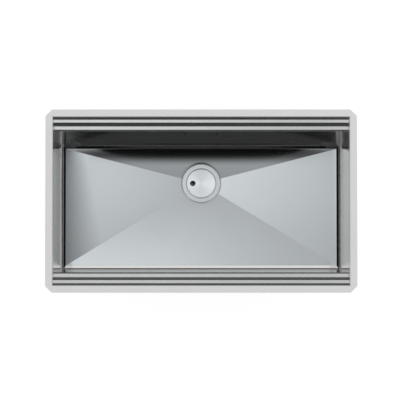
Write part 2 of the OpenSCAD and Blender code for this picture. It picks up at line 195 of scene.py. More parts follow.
def turned(name, section, segments=96):
    """A closed section of (radius, height, corner radius) turned about the Z axis."""
    outline = rounded(section, closed=True)
    outline = [p for p, q in zip(outline, outline[-1:] + outline[:-1]) if (p - q).length > 1e-7]
    bm = bmesh.new()
    brush = bm.loops.layers.uv.new("brush")
    rings = []
    for p in outline:
        if p.x < 1e-7:
            rings.append([bm.verts.new((0, 0, p.y))])
            continue
        rings.append([
            bm.verts.new((p.x * math.cos(a), p.x * math.sin(a), p.y))
            for a in (2 * math.pi * k / segments for k in range(segments))
        ])
    run = 0
    width = max(p.x for p in outline)
    for i, p in enumerate(outline):
        low, high = rings[i], rings[(i + 1) % len(rings)]
        length = (outline[(i + 1) % len(outline)] - p).length
        if len(low) > 1 or len(high) > 1:
            for k in range(segments):
                n = (k + 1) % segments
                corners = [(low[k % len(low)], k, 0), (low[n % len(low)], k + 1, 0),
                           (high[n % len(high)], k + 1, 1), (high[k % len(high)], k, 1)]
                corners = [c for j, c in enumerate(corners) if c[0] not in [d[0] for d in corners[:j]]]
                face = bm.faces.new([c[0] for c in corners])
                for loop, (_, turn, side) in zip(face.loops, corners):
                    loop[brush].uv = (width * 2 * math.pi * turn / segments, run + side * length)
        run += length
    bmesh.ops.recalc_face_normals(bm, faces=bm.faces)
    return object_from(name, bm)


def dressed(node):
    """A merged, smooth copy of a CAD node."""
    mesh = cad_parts[node].data.copy()
    bm = bmesh.new()
    bm.from_mesh(mesh)
    bmesh.ops.remove_doubles(bm, verts=bm.verts, dist=1e-6)
    bm.to_mesh(mesh)
    bm.free()
    return smoothed(object_of(node + "_piece", mesh))


def keep(obj, material, slot, body, *nodes):
    """Gives a finished piece its finish, and notes the body it rides on and what it stands for."""
    obj.data.materials.clear()
    obj.data.materials.append(material)
    for polygon in obj.data.polygons:
        polygon.material_index = 0
    PIECES.append((obj, slot, body, nodes))
    return obj


# ------------------------------------------------------------------ node trees


class Tree:
    """A node tree as it is built: add() makes a node and links or sets its inputs."""

    def __init__(self, tree):
        self.tree = tree

    def add(self, kind, inputs=None, **settings):
        node = self.tree.nodes.new(kind)
        for name, value in settings.items():
            setattr(node, name, value)
        for key, value in (inputs or {}).items():
            if isinstance(value, bpy.types.NodeSocket):
                self.tree.links.new(value, node.inputs[key])
            else:
                node.inputs[key].default_value = value
        return node

    def maths(self, operation, *values, clamp=False):
        node = self.add("ShaderNodeMath", dict(enumerate(values)), operation=operation, use_clamp=clamp)
        return node.outputs[0]

    def remap(self, value, low, high, to_low=0.0, to_high=1.0, smooth=True):
        node = self.add(
            "ShaderNodeMapRange", {0: value, 1: low, 2: high, 3: to_low, 4: to_high},
            interpolation_type="SMOOTHSTEP" if smooth else "LINEAR",
        )
        return node.outputs[0]

    def mix(self, share, first, second):
        node = self.add("ShaderNodeMix", {0: share, 6: first, 7: second}, data_type="RGBA")
        return node.outputs[2]


class Shape(Tree):
    """A Geometry Nodes tree with named inputs."""

    KINDS = {float: "NodeSocketFloat", int: "NodeSocketInt"}

    def __init__(self, name, sizes):
        super().__init__(bpy.data.node_groups.new(name, "GeometryNodeTree"))
        face = self.tree.interface
        face.new_socket("Geometry", in_out="INPUT", socket_type="NodeSocketGeometry")
        for label, value in sizes.items():
            face.new_socket(label, in_out="INPUT", socket_type=self.KINDS[type(value)])
        face.new_socket("Finish", in_out="INPUT", socket_type="NodeSocketMaterial")
        face.new_socket("Geometry", in_out="OUTPUT", socket_type="NodeSocketGeometry")
        self.sizes = sizes
        self.given = self.add("NodeGroupInput")
        self.start = self.given.outputs["Geometry"]

    def size(self, label):
        return self.given.outputs[label]

    def end(self, geometry):
        whole = self.add("GeometryNodeRealizeInstances", {0: geometry}).outputs[0]
        painted = self.add("GeometryNodeSetMaterial", {"Geometry": whole, "Material": self.given.outputs["Finish"]})
        self.add("NodeGroupOutput", {0: painted.outputs[0]})

    def applied(self, obj, finish):
        """Runs the tree on an object and keeps the result as its mesh."""
        modifier = obj.modifiers.new(self.tree.name, "NODES")
        modifier.node_group = self.tree
        for item in self.tree.interface.items_tree:
            if item.in_out == "INPUT" and item.name in self.sizes:
                modifier[item.identifier] = self.sizes[item.name]
            elif item.in_out == "INPUT" and item.name == "Finish":
                modifier[item.identifier] = finish
        return baked(obj)


def ring_of(shape, count, radius, height, turn=0.5):
    """Points at equal angles round the Z axis, the first turned by a share of a step, and their turns."""
    line = shape.add("GeometryNodeMeshLine", {"Count": count, "Offset": (0.0, 0.0, 0.0)})
    index = shape.add("GeometryNodeInputIndex").outputs[0]
    step = shape.maths("DIVIDE", 2 * math.pi, count)
    angle = shape.maths("MULTIPLY", shape.maths("ADD", index, turn), step)
    place = shape.add("ShaderNodeCombineXYZ", {
        0: shape.maths("MULTIPLY", shape.maths("COSINE", angle), radius),
        1: shape.maths("MULTIPLY", shape.maths("SINE", angle), radius),
        2: height,
    }).outputs[0]
    moved = shape.add("GeometryNodeSetPosition", {"Geometry": line.outputs[0], "Position": place}).outputs[0]
    turns = shape.add("ShaderNodeCombineXYZ", {2: angle}).outputs[0]
    return moved, turns


def repeated(shape, points, turns, solid):
    node = shape.add("GeometryNodeInstanceOnPoints", {"Points": points, "Instance": solid, "Rotation": turns})
    return shape.add("GeometryNodeRealizeInstances", {0: node.outputs[0]}).outputs[0]


def box_solid(shape, length, width, height):
    size = shape.add("ShaderNodeCombineXYZ", {0: length, 1: width, 2: height}).outputs[0]
    return shape.add("GeometryNodeMeshCube", {"Size": size}).outputs[0]


def rod(shape, sides, radius, length):
    node = shape.add("GeometryNodeMeshCylinder", {"Vertices": sides, "Radius": radius, "Depth": length})
    return node.outputs[0]


def placed(shape, solid, x=0.0, y=0.0, z=0.0, turn=(0.0, 0.0, 0.0)):
    place = shape.add("ShaderNodeCombineXYZ", {0: x, 1: y, 2: z}).outputs[0]
    node = shape.add("GeometryNodeTransform", {"Geometry": solid, "Translation": place, "Rotation": turn})
    return node.outputs[0]


def cut(shape, body, cutters):
    node = shape.add("GeometryNodeMeshBoolean", operation="DIFFERENCE", solver="EXACT")
    shape.tree.links.new(body, node.inputs["Mesh 1"])
    for cutter in cutters:
        shape.tree.links.new(cutter, node.inputs["Mesh 2"])
    return node.outputs[0]


def joined(shape, solids):
    node = shape.add("GeometryNodeMeshBoolean", operation="UNION", solver="EXACT")
    for solid in solids:
        shape.tree.links.new(solid, node.inputs["Mesh 2"])
    return node.outputs[0]


# ------------------------------------------------------------------ finishes


NOISE_RANGE = (0.3, 0.7)


class Finish(Tree):
    """A material with one Principled shader."""

    def __init__(self, name, colour, roughness, **constants):
        material = bpy.data.materials.new(name)
        material.use_nodes = True
        material.node_tree.nodes.clear()
        super().__init__(material.node_tree)
        self.material = material
        self.shader = self.add("ShaderNodeBsdfPrincipled")
        self.set("Base Color", (*colour, 1.0))
        self.set("Roughness", roughness)
        for label, value in constants.items():
            self.set(label, value)
        self.add("ShaderNodeOutputMaterial", {0: self.shader.outputs[0]})

    def set(self, label, value):
        if isinstance(value, bpy.types.NodeSocket):
            self.tree.links.new(value, self.shader.inputs[label])
        else:
            self.shader.inputs[label].default_value = value

    def brush(self):
        return self.add("ShaderNodeUVMap", uv_map="brush").outputs[0]

    def place(self):
        return self.add("ShaderNodeTexCoord").outputs["Object"]

    def facing(self):
        return self.add("ShaderNodeTexCoord").outputs["Normal"]

    def noise(self, vector, scale, detail=2.0, roughness=0.5):
        """Noise, most of it in NOISE_RANGE, whose grain along each axis is scale, in grains a metre."""
        grain = self.add("ShaderNodeMapping", {0: vector, 3: scale}).outputs[0]
        return self.add(
            "ShaderNodeTexNoise", {"Vector": grain, "Scale": 1.0, "Detail": detail, "Roughness": roughness}
        ).outputs[0]

    def scaled(self, colour, share):
        return self.add("ShaderNodeVectorMath", {0: colour, 3: share}, operation="SCALE").outputs[0]

    def bump(self, height, distance):
        node = self.add("ShaderNodeBump", {"Strength": 1.0, "Distance": distance, "Height": height})
        self.set("Normal", node.outputs[0])


def grained(finish, along, across, tone):
    """Fine lines along the U of the brush map, and the change of tone they make."""
    lines = finish.noise(finish.brush(), (along, across, 1.0), detail=5.0, roughness=0.65)
    cloud = finish.noise(finish.place(), (9.0, 9.0, 9.0), detail=3.0)
    change = finish.maths("ADD", finish.remap(lines, *NOISE_RANGE, -tone, tone, smooth=False),
                          finish.remap(cloud, *NOISE_RANGE, -tone / 3, tone / 3, smooth=False))
    finish.set("Tangent", finish.add("ShaderNodeTangent", direction_type="UV_MAP", uv_map="brush").outputs[0])
    return lines, finish.maths("ADD", change, 1.0)


def brushed(name, colour, roughness, along=12.0, across=1800.0, anisotropy=0.4):
    """Metal with fine lines along the U of its brush map."""
    tone, wear, depth = 0.035, 0.03, 0.000004
    finish = Finish(name, colour, roughness, Metallic=1.0, Anisotropic=anisotropy, **{"Anisotropic Rotation": 0.25})
    lines, change = grained(finish, along, across, tone)
    finish.set("Base Color", finish.scaled(colour, change))
    worn = finish.remap(lines, *NOISE_RANGE, -wear, wear, smooth=False)
    finish.set("Roughness", finish.maths("ADD", roughness, worn))
    finish.bump(lines, depth)
    return finish.material


def bowl_steel():
    """The bowl's steel: a satin flange, brushed ledges and floor, shinier walls, painted shade in the grooves and
    over the floor's left end, and the left facet painted darker and the right paler.
    """
    finish = Finish("bowl_steel", WALL_COLOUR, WALL_SHINE, Metallic=1.0, Anisotropic=0.3,
                    **{"Anisotropic Rotation": 0.25})
    m, remap = finish.maths, finish.remap
    x, y, z = finish.add("ShaderNodeSeparateXYZ", {0: finish.place()}).outputs
    behind = m("SUBTRACT", y, DRAIN_Y)
    side = m("DIVIDE", m("ABSOLUTE", x), FLAT_X)
    back = m("DIVIDE", behind, FLAT_Y - DRAIN_Y)
    front = m("DIVIDE", behind, -(FLAT_Y + DRAIN_Y))
    ends = m("MAXIMUM", back, front)
    out = m("MINIMUM", m("MAXIMUM", side, ends), 1.0)

    # Where each part of the bowl is, from 0 to 1
    between = m("MULTIPLY", m("GREATER_THAN", y, -FLAT_Y - 0.001), m("LESS_THAN", y, HALF_OPENING_Y - WALL_FOOT))
    between = m("MULTIPLY", between, m("LESS_THAN", side, 1.002))
    on_floor = m("MULTIPLY", remap(z, *FLOOR_ZONE_Z, 1.0, 0.0), between)
    on_folds = m("MULTIPLY", remap(z, *FOLD_ZONE_Z, 1.0, 0.0), m("SUBTRACT", 1.0, on_floor))
    on_ledges = remap(z, *LEDGE_ZONE_Z)
    on_flange = remap(z, *FLANGE_ZONE_Z)
    at_end = m("GREATER_THAN", m("ABSOLUTE", x), HALF_OPENING_X - 0.001)
    on_ends = m("MULTIPLY", at_end, remap(z, *END_ZONE_Z, 1.0, 0.0))
    inward = m("MULTIPLY", finish.add("ShaderNodeSeparateXYZ", {0: finish.facing()}).outputs[1], m("SIGN", y))
    in_grooves = m("MULTIPLY", remap(inward, *GROOVE_FACING, 1.0, 0.0), on_ledges)
    in_side = m("MULTIPLY", remap(m("SUBTRACT", side, ends), -CREASE, CREASE), on_floor)
    in_left = m("MULTIPLY", in_side, m("LESS_THAN", x, 0.0))
    in_right = m("MULTIPLY", in_side, m("GREATER_THAN", x, 0.0))
    # Painted shade: near_left is how far into the floor's left end the colour is darkened, from a slanted start line
    # to the wall
    start = m("ADD", PAINTED_SHADE_START, m("MULTIPLY", y, PAINTED_SHADE_SLANT))
    near_left = m("DIVIDE", m("SUBTRACT", m("ABSOLUTE", x), start), m("SUBTRACT", FLAT_X, start), clamp=True)
    near_left = m("MULTIPLY", m("POWER", near_left, PAINTED_SHADE_POWER), in_left)
    in_back = m("MULTIPLY", remap(m("SUBTRACT", back, side), -CREASE, CREASE), on_floor)
    near_back = m("MULTIPLY", remap(y, BACK_SHINE_START, FLAT_Y, smooth=False), in_back)

    colour = finish.mix(on_floor, (*WALL_COLOUR, 1.0), (*FLOOR_COLOUR, 1.0))
    colour = finish.mix(on_ledges, colour, (*LEDGE_COLOUR, 1.0))
    colour = finish.mix(on_flange, colour, (*FLANGE_COLOUR, 1.0))
    # Painted shade over the floor's left end, mixed towards a near-black colour
    colour = finish.mix(m("MULTIPLY", near_left, PAINTED_SHADE_DEPTH), colour, (*PAINTED_SHADE_COLOUR, 1.0))
    lines, change = grained(finish, along=12.0, across=1800.0, tone=0.03)
    # Painted shade on the left facet and painted light on the right facet, by changing their colour
    facet_painted_light = m("ADD", 1.0, m("ADD", m("MULTIPLY", in_left, LEFT_FACET_PAINTED_SHADE), m("MULTIPLY", in_right, RIGHT_FACET_PAINTED_LIGHT)))
    # Painted shade in the ledges' grooves: their inward-facing sides are darkened by up to two thirds
    groove = m("SUBTRACT", 1.0, m("MULTIPLY", in_grooves, PAINTED_GROOVE_SHADE))
    finish.set("Base Color", finish.scaled(colour, m("MULTIPLY", change, m("MULTIPLY", facet_painted_light, groove))))

    rough = WALL_SHINE
    for where, step in (
        (on_floor, FLOOR_SHINE - WALL_SHINE), (on_folds, FOLD_SHINE - WALL_SHINE),
        (on_ledges, LEDGE_SHINE - WALL_SHINE), (on_flange, FLANGE_SHINE - LEDGE_SHINE),
        (near_left, LEFT_SHINE), (near_back, BACK_SHINE),
    ):
        rough = m("ADD", rough, m("MULTIPLY", where, step))
    finish.set("Roughness", rough)
    satin = m("ADD", m("MULTIPLY", on_flange, FLANGE_METAL - 1.0), m("MULTIPLY", on_ends, END_METAL - 1.0))
    finish.set("Metallic", m("ADD", 1.0, satin))

    # The facets are shaded as if they fell further than they do, which parts their reflections
    brushed_part = m("ADD", on_floor, on_ledges, clamp=True)
    scratches = m("MULTIPLY", lines, m("MULTIPLY", brushed_part, LINE_DEPTH))
    height = m("ADD", m("MULTIPLY", out, SHADED_FALL), scratches)
    finish.bump(height, 1.0)
    return finish.material


def moulded(name, colour, roughness, grain=900.0, depth=0.00001):
    """Plastic or rubber with a fine moulded grain and a faint change of tone."""
    finish = Finish(name, colour, roughness)
    fine = finish.noise(finish.place(), (grain, grain, grain), detail=3.0)
    cloud = finish.noise(finish.place(), (14.0, 14.0, 14.0), detail=3.0)
    finish.set("Base Color", finish.mix(
        cloud, tuple(c * 0.94 for c in colour) + (1.0,), tuple(min(1.0, c * 1.05) for c in colour) + (1.0,)
    ))
    finish.set("Roughness", finish.remap(fine, *NOISE_RANGE, roughness - 0.06, roughness + 0.06, smooth=False))
    finish.bump(fine, depth)
    return finish.material


# Where the bowl's zones fade over, in height, and in how far a groove faces inwards
FLOOR_ZONE_Z = (-0.187, -0.185)
FOLD_ZONE_Z = (-0.192, -0.190)
LEDGE_ZONE_Z = (LOWER_LEDGE_Z - 0.0025, LOWER_LEDGE_Z - 0.0005)
FLANGE_ZONE_Z = (-0.004, -0.001)
END_ZONE_Z = (-0.006, -0.003)
GROOVE_FACING = (-0.50, -0.08)
CREASE = 0.006
BACK_SHINE_START = 0.112

# Colours and shines (roughness) of the bowl's parts
WALL_COLOUR = (0.70, 0.695, 0.69)
FLOOR_COLOUR = (0.64, 0.66, 0.67)
LEDGE_COLOUR = (0.76, 0.76, 0.755)
FLANGE_COLOUR = (0.78, 0.78, 0.775)
WALL_SHINE = 0.12
FLOOR_SHINE = 0.15
FOLD_SHINE = 0.07
LEDGE_SHINE = 0.20
FLANGE_SHINE = 0.45
FLANGE_METAL = 0.35
END_METAL = 0.85
LEFT_SHINE = 0.10
BACK_SHINE = -0.08
# Painted shade on the left facet and painted light on the right facet, as shares of their colour
LEFT_FACET_PAINTED_SHADE = -0.07
RIGHT_FACET_PAINTED_LIGHT = 0.02
# Painted shade: the share by which the grooves' inward-facing sides are darkened
PAINTED_GROOVE_SHADE = 0.66
LINE_DEPTH = 0.000003
SHADED_FALL = 0.006

# Painted shade that darkens the floor towards its left end
PAINTED_SHADE_COLOUR = (0.02, 0.03, 0.035)
PAINTED_SHADE_DEPTH = 0.50
PAINTED_SHADE_START = 0.307
PAINTED_SHADE_SLANT = 0.20
PAINTED_SHADE_POWER = 1.2

BOWL_STEEL = bowl_steel()
DRAIN_STEEL = brushed("drain_steel", (0.70, 0.71, 0.71), 0.20, along=8.0, across=2400.0)
RIM_STEEL = brushed("rim_steel", (0.67, 0.685, 0.69), 0.20, along=8.0, across=2400.0)
# The cover's steel is painted much paler than the drain's other steel: painted light, for the cover's bright
# reflection
PAINTED_BRIGHT_COVER_STEEL = brushed("cover_steel", (0.93, 0.95, 0.96), 0.24, along=8.0, across=2400.0, anisotropy=0.75)
WHITE_PLASTIC = moulded("white_plastic", (0.80, 0.80, 0.77), 0.38)
GREY_PLASTIC = moulded("grey_plastic", (0.30, 0.31, 0.32), 0.42)
RUBBER = moulded("rubber", (0.022, 0.022, 0.024), 0.55, grain=1400.0)
PAD_RUBBER = moulded("pad_rubber", (0.045, 0.046, 0.050), 0.72, grain=420.0, depth=0.00012)
BRASS = brushed("brass", (0.72, 0.50, 0.22), 0.30)


# ------------------------------------------------------------------ bowl


def inward_at(path, z):
    """How far in a falling path stands at height z."""
    for a, b in zip(path, path[1:]):
        if a.y >= z >= b.y and a.y > b.y:
            return a.lerp(b, (a.y - z) / (a.y - b.y)).x
    return path[0].x if z >= path[0].y else path[-1].x


def with_levels(path, heights):
    """The path with a point added wherever it crosses one of the heights."""
    points = [path[0]]
    for a, b in zip(path, path[1:]):
        between = sorted((z for z in heights if b.y + 1e-6 < z < a.y - 1e-6), reverse=True)
        points += [a.lerp(b, (a.y - z) / (a.y - b.y)) for z in between]
        points.append(b)
    return points


def floor_rays(count=144):
    """Where equal angles round the drain, and the four corners, meet the edge of the floor."""
    angles = [2 * math.pi * k / count for k in range(count)]
    for x in (FLAT_X, -FLAT_X):
        for y in (FLAT_Y, -FLAT_Y):
            corner = math.atan2(y - DRAIN_Y, x) % (2 * math.pi)
            nearest = min(range(count), key=lambda k: abs(angles[k] - corner))
            angles[nearest] = corner
    rays = []
    for angle in angles:
        way = Vector((math.cos(angle), math.sin(angle)))
        reach = [FLAT_X / abs(way.x) if abs(way.x) > 1e-9 else math.inf]
        if way.y > 1e-9:
            reach.append((FLAT_Y - DRAIN_Y) / way.y)
        if way.y < -1e-9:
            reach.append((FLAT_Y + DRAIN_Y) / -way.y)
        rays.append((way, way * min(reach) + Vector((0, DRAIN_Y))))
    return rays


def bowl_sheet():
    """The side of the sheet that faces the water, with its floor still level."""
    beyond = 0.05
    long_fold = STRIP_LONG - STRIP_FOLD * math.tan(LONG_TILT / 2)
    end_fold = STRIP_END - STRIP_FOLD * math.tan(END_TILT / 2)
    # Where the sloping strip meets the leaning wall
    lean, tilt = math.tan(WALL_ANGLE), math.tan(LONG_TILT)
    foot = (LOWER_EDGE + (LOWER_LEDGE_Z - FLOOR_EDGE_Z - long_fold * tilt) * lean) / (1 - tilt * lean)
    long_foot_z = FLOOR_EDGE_Z + (long_fold - foot) * tilt
    end_foot_z = FLOOR_EDGE_Z + end_fold * math.tan(END_TILT)
    long_path = rounded([
        (-beyond, 0, 0), (0, 0, RIM_FOLD), (UPPER_FOOT, UPPER_LEDGE_Z, LEDGE_FOLD),
        (UPPER_EDGE, UPPER_LEDGE_Z, LEDGE_FOLD), (LOWER_FOOT, LOWER_LEDGE_Z, LEDGE_FOLD),
        (LOWER_EDGE, LOWER_LEDGE_Z, WALL_TOP_FOLD), (foot, long_foot_z, FOOT_FOLD),
        (long_fold, FLOOR_EDGE_Z, STRIP_FOLD), (long_fold + beyond, FLOOR_EDGE_Z, 0),
    ])[1:-1]
    end_path = rounded([
        (-beyond, 0, 0), (0, 0, RIM_FOLD), (0, end_foot_z, END_FOOT_FOLD),
        (end_fold, FLOOR_EDGE_Z, STRIP_FOLD), (end_fold + beyond, FLOOR_EDGE_Z, 0),
    ])[1:-1]
    levels = with_levels(long_path, [p.y for p in end_path])
    bend_top = max(long_foot_z, end_foot_z) + max(FOOT_FOLD, END_FOOT_FOLD)

    bm = bmesh.new()
    brush = bm.loops.layers.uv.new("brush")
    share = bm.verts.layers.float.new("floor_share")
    dish = bm.verts.layers.float.new("dish_share")
    rays = floor_rays()
    eps = 1e-7
    front = sorted(p.x for _, p in rays if abs(p.y + FLAT_Y) < eps and abs(p.x) < FLAT_X - eps)
    back = sorted(p.x for _, p in rays if abs(p.y - FLAT_Y) < eps and abs(p.x) < FLAT_X - eps)
    sides = sorted({round(p.y, 9) for _, p in rays if abs(p.x - FLAT_X) < eps and abs(p.y) < FLAT_Y - eps})

    def face(verts, uv):
        made = bm.faces.new(verts)
        for loop in made.loops:
            loop[brush].uv = uv(loop.vert.co)
        return made

    front_rows, back_rows, left_rows, right_rows, runs = [], [], [], [], []
    run = 0
    for i, p in enumerate(levels):
        run += (p - levels[i - 1]).length if i else 0
        runs.append(run)
        x = HALF_OPENING_X - inward_at(end_path, p.y)
        y = HALF_OPENING_Y - p.x
        fl, fr, bl, br = (bm.verts.new((sx * x, sy * y, p.y)) for sy in (-1, 1) for sx in (-1, 1))
        in_bend = p.y < bend_top
        front_rows.append([fl] + [bm.verts.new((s, -y, p.y)) for s in front if in_bend] + [fr])
        back_rows.append([bl] + [bm.verts.new((s, y, p.y)) for s in back if in_bend] + [br])
        left_rows.append([fl] + [bm.verts.new((-x, s, p.y)) for s in sides if in_bend] + [bl])
        right_rows.append([fr] + [bm.verts.new((x, s, p.y)) for s in sides if in_bend] + [br])
        for row in (front_rows[-1], back_rows[-1], left_rows[-1], right_rows[-1]):
            for vert in row:
                vert[dish] = 1.0 if in_bend else 0.0

    def strip(rows, i, turned_round, across):
        """Faces between row i and the next, seen from inside the bowl."""
        upper, lower = rows[i], rows[i + 1]

        def uv(co):
            along = co.y if across else co.x
            return along, runs[i] if co.z >= levels[i].y - 1e-9 and co.z > levels[i + 1].y else runs[i + 1]

        if len(upper) == len(lower) and len(upper) > 2:
            for k in range(len(upper) - 1):
                loop = [upper[k], lower[k], lower[k + 1], upper[k + 1]]
                face(loop[::-1] if turned_round else loop, uv)
        else:
            loop = upper[::-1] + lower
            face(loop[::-1] if turned_round else loop, uv)

    for i in range(len(levels) - 1):
        strip(front_rows, i, True, False)
        strip(back_rows, i, False, False)
    rim_low = max(i for i, p in enumerate(levels) if p.y > -RIM_FOLD - 1e-6)
    bend_high = min(i for i, p in enumerate(levels) if p.y < bend_top)
    for rows, turned_round in ((left_rows, False), (right_rows, True)):
        for i in [*range(rim_low), *range(bend_high, len(levels) - 1)]:
            strip(rows, i, turned_round, True)
        down_front = [row[0] for row in rows[rim_low + 1:bend_high]]
        down_back = [row[-1] for row in rows[rim_low + 1:bend_high]]
        loop = rows[rim_low][::-1] + down_front + rows[bend_high] + down_back[::-1]
        face(loop[::-1] if turned_round else loop, lambda co: (co.y, co.z))

    # The flange lies round the top row, in four arms and four cut corners
    fl, fr = front_rows[0][0], front_rows[0][-1]
    bl, br = back_rows[0][0], back_rows[0][-1]
    wide, deep = OVERALL_WIDTH / 2, OVERALL_DEPTH / 2
    edge = {
        (sx, sy, long): bm.verts.new((sx * (wide - CORNER_CUT * long), sy * (deep - CORNER_CUT * (1 - long)), 0))
        for sx in (-1, 1) for sy in (-1, 1) for long in (0, 1)
    }
    flat = lambda co: (co.x, co.y)
    face([fl, fr, edge[1, -1, 1], edge[-1, -1, 1]][::-1], flat)
    face([br, bl, edge[-1, 1, 1], edge[1, 1, 1]][::-1], flat)
    face([bl, fl, edge[-1, -1, 0], edge[-1, 1, 0]][::-1], flat)
    face([fr, br, edge[1, 1, 0], edge[1, -1, 0]][::-1], flat)
    for vert, sx, sy in ((fl, -1, -1), (fr, 1, -1), (bl, -1, 1), (br, 1, 1)):
        loop = [vert, edge[sx, sy, 0], edge[sx, sy, 1]]
        face(loop if sx * sy < 0 else loop[::-1], flat)

    # The floor runs in rings from its edge to the drain's recess, then over a lip and down
    outer = {}
    for row in (front_rows[-1], back_rows[-1], left_rows[-1], right_rows[-1]):
        for vert in row:
            vert[share] = 1.0
            outer[round(vert.co.x, 6), round(vert.co.y, 6)] = vert
    lip = 0.001
    rings = [[outer[round(p.x, 6), round(p.y, 6)] for _, p in rays]]
    centre = Vector((0, DRAIN_Y))
    for step in FLOOR_RINGS:
        ring = []
        for way, p in rays:
            spot = p.lerp(centre + way * (RECESS_RADIUS + lip), step)
            vert = bm.verts.new((spot.x, spot.y, FLOOR_EDGE_Z))
            vert[share] = vert[dish] = 1.0
            ring.append(vert)
        rings.append(ring)
    for radius, z, on_floor in (
        (RECESS_RADIUS + 0.0004, FLOOR_EDGE_Z - 0.00018, 1.0), (RECESS_RADIUS, FLOOR_EDGE_Z - lip, 1.0),
        (RECESS_RADIUS, RECESS_Z + 0.0004, 0.0), (RECESS_RADIUS - 0.0005, RECESS_Z, 0.0),
        (DRAIN_HOLE_RADIUS, RECESS_Z, 0.0),
    ):
        ring = []
        for way, _ in rays:
            spot = centre + way * radius
            vert = bm.verts.new((spot.x, spot.y, z))
            vert[share] = on_floor
            ring.append(vert)
        rings.append(ring)
    for outside, inside in zip(rings, rings[1:]):
        for k in range(len(rays)):
            n = (k + 1) % len(rays)
            face([outside[k], outside[n], inside[n], inside[k]], flat)
    bm.normal_update()
    corners = [k for k, (_, p) in enumerate(rays) if abs(abs(p.x) - FLAT_X) < eps and abs(abs(p.y) - FLAT_Y) < eps]
    for k in corners:
        for outside, inside in zip(rings[:len(FLOOR_RINGS) + 1], rings[1:]):
            bm.edges.get((outside[k], inside[k])).smooth = False
    # The sheet is mitred where the ends meet the front and the back
    for i in range(len(levels) - 1):
        for rows, end in ((front_rows, 0), (front_rows, -1), (back_rows, 0), (back_rows, -1)):
            bm.edges.get((rows[i][end], rows[i + 1][end])).smooth = False
    return object_from("bowl_shell", bm)


def floor_fall_shape():
    """Lets the floor fall to the drain in four facets, and lifts its dished edges."""
    shape = Shape("floor_fall", {
        "Fall": FLOOR_FALL, "Drain Y": DRAIN_Y, "Side Run": FLAT_X, "Back Run": FLAT_Y - DRAIN_Y,
        "Front Run": FLAT_Y + DRAIN_Y, "Back Wall Y": HALF_OPENING_Y - WALL_FOOT,
        "Back Dish Depth": BACK_DISH_DEPTH, "Back Dish Width": BACK_DISH_WIDTH,
        "Left Wall X": HALF_OPENING_X, "Left Dish Depth": LEFT_DISH_DEPTH, "Left Dish Width": LEFT_DISH_WIDTH,
    })
    place = shape.add("ShaderNodeSeparateXYZ", {0: shape.add("GeometryNodeInputPosition").outputs[0]})
    x, y = place.outputs[0], place.outputs[1]
    behind = shape.maths("SUBTRACT", y, shape.size("Drain Y"))
    side = shape.maths("DIVIDE", shape.maths("ABSOLUTE", x), shape.size("Side Run"))
    back = shape.maths("DIVIDE", behind, shape.size("Back Run"))
    front = shape.maths("DIVIDE", behind, shape.maths("MULTIPLY", shape.size("Front Run"), -1.0))
    out = shape.maths("MINIMUM", shape.maths("MAXIMUM", side, shape.maths("MAXIMUM", back, front)), 1.0)
    drop = shape.maths("MULTIPLY", shape.maths("SUBTRACT", out, 1.0), shape.size("Fall"))

    def dish(distance, width, depth, fade):
        """A rise that starts at the width from the wall and reaches the depth at it."""
        near = shape.maths("SUBTRACT", 1.0, shape.maths("DIVIDE", distance, shape.size(width)), clamp=True)
        rise = shape.maths("MULTIPLY", shape.maths("POWER", near, 2.0), shape.size(depth))
        return shape.maths("MULTIPLY", rise, fade)

    middle_x = shape.maths("SUBTRACT", 1.0, shape.maths("POWER", shape.maths("MINIMUM", side, 1.0), 4.0))
    to_back = shape.maths("SUBTRACT", shape.size("Back Wall Y"), y)
    lift_back = dish(to_back, "Back Dish Width", "Back Dish Depth", middle_x)
    reach_y = shape.maths("MAXIMUM", back, front)
    middle_y = shape.maths("SUBTRACT", 1.0, shape.maths("POWER", shape.maths("MINIMUM", reach_y, 1.0), 2.0))
    to_left = shape.maths("ADD", shape.size("Left Wall X"), x)
    lift_left = dish(to_left, "Left Dish Width", "Left Dish Depth", middle_y)
    share = shape.add("GeometryNodeInputNamedAttribute", {"Name": "floor_share"}, data_type="FLOAT").outputs[0]
    lifted = shape.add("GeometryNodeInputNamedAttribute", {"Name": "dish_share"}, data_type="FLOAT").outputs[0]
    rise = shape.maths("ADD", shape.maths("MULTIPLY", drop, share),
                       shape.maths("MULTIPLY", shape.maths("ADD", lift_back, lift_left), lifted))
    offset = shape.add("ShaderNodeCombineXYZ", {2: rise}).outputs[0]
    shape.end(shape.add("GeometryNodeSetPosition", {"Geometry": shape.start, "Offset": offset}).outputs[0])
    return shape


def on_back_wall(obj):
    """Moves a mesh drawn with Y out of the wall and Z up it to the outside of the overflow slot."""
    down = LOWER_LEDGE_Z - SLOT_Z
    y = HALF_OPENING_Y - LOWER_EDGE - down * math.tan(WALL_ANGLE) + SHEET / math.cos(WALL_ANGLE)
    obj.data.transform(Matrix.Translation((0, y, SLOT_Z)) @ Matrix.Rotation(-WALL_ANGLE, 4, "X"))
    return obj


def round_bar(name, width, height, corner, start, end, edge=0):
    """A bar with round corners that reaches from start to end along Y."""
    outline = rounded([(-width / 2, -height / 2, corner), (width / 2, -height / 2, corner),
                       (width / 2, height / 2, corner), (-width / 2, height / 2, corner)], closed=True)
    bm = bmesh.new()
    near = [bm.verts.new((p.x, start, p.y)) for p in outline]
    far = [bm.verts.new((p.x, end, p.y)) for p in outline]
    bm.faces.new(near)
    bm.faces.new(far[::-1])
    for k in range(len(outline)):
        n = (k + 1) % len(outline)
        bm.faces.new([near[n], near[k], far[k], far[n]])
    if edge:
        rim = [e for e in bm.edges if abs(e.verts[0].co.y - e.verts[1].co.y) < 1e-9]
        bmesh.ops.bevel(bm, geom=rim, offset=edge, segments=3, profile=0.5, affect="EDGES")
    brush = bm.loops.layers.uv.new("brush")
    for f in bm.faces:
        for loop in f.loops:
            loop[brush].uv = (loop.vert.co.x, loop.vert.co.z + loop.vert.co.y)
    bmesh.ops.recalc_face_normals(bm, faces=bm.faces)
    return object_from(name, bm)


